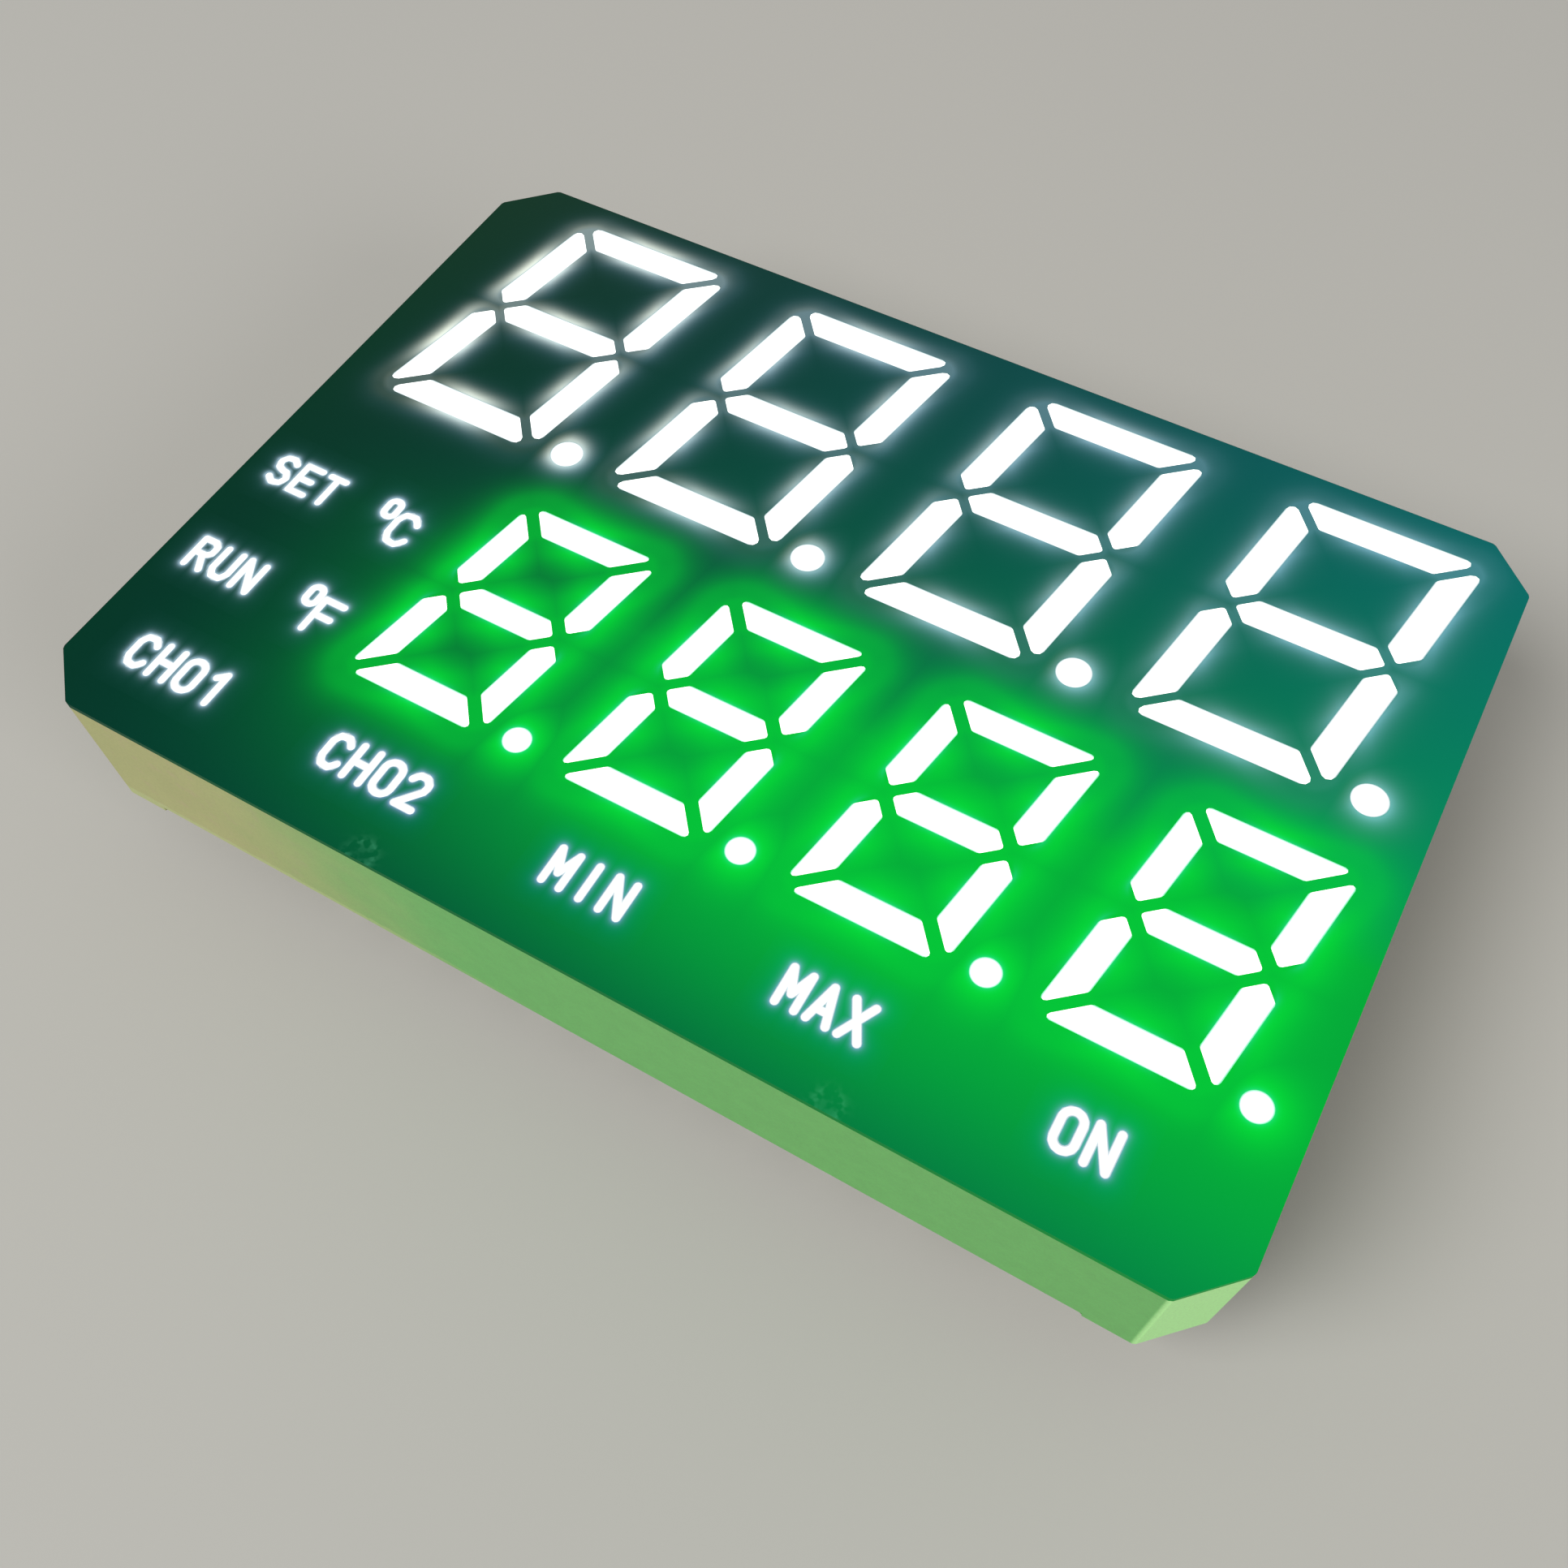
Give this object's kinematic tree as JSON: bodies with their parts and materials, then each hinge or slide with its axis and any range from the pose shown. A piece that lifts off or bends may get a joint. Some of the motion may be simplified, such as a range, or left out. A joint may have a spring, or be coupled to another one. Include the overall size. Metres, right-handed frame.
{
  "type": "seven segment display",
  "caption": "Seven-segment LED display module with tall white digits above shorter green digits, small lit legends, a dark film face and through-hole pins.",
  "frame": {"origin": "under the middle of the case, level with the pin tips", "axes": "+X along the digits from left to right, +Y up the face, +Z out of the lit face"},
  "size_m": [0.038, 0.0262, 0.0086],
  "materials": {
    "case_plastic": "moulded ivory plastic, fine matte",
    "face_film": "dark printed film, satin",
    "white_light_resin": "milky cast resin, lit white",
    "green_light_resin": "milky cast resin, lit green-white",
    "legend_light_resin": "milky cast resin, lit white",
    "white_die": "light-emitting die, polished",
    "green_die": "light-emitting die, polished",
    "board": "glass-fibre board under green solder resist",
    "potting_resin": "cast resin, slightly wavy, satin",
    "pin_metal": "tinned wire, satin",
    "solder_metal": "solder, satin"
  },
  "bodies": {
    "root": {"case": "case_plastic", "face_film": "face_film", "tall_digit_1": "white_light_resin", "tall_digit_2": "white_light_resin", "tall_digit_3": "white_light_resin", "tall_digit_4": "white_light_resin", "short_digit_1": "green_light_resin", "short_digit_2": "green_light_resin", "short_digit_3": "green_light_resin", "short_digit_4": "green_light_resin", "legend_set": "legend_light_resin", "legend_run": "legend_light_resin", "legend_celsius": "legend_light_resin", "legend_fahrenheit": "legend_light_resin", "legend_ch1": "legend_light_resin", "legend_ch2": "legend_light_resin", "legend_min": "legend_light_resin", "legend_max": "legend_light_resin", "legend_on": "legend_light_resin", "white_dies": "white_die", "green_dies": "green_die", "legend_dies": "white_die", "circuit_board": "board", "potting": "potting_resin", "front_pins": "pin_metal", "rear_pins": "pin_metal", "front_solder": "solder_metal", "rear_solder": "solder_metal"}
  },
  "joints": []
}
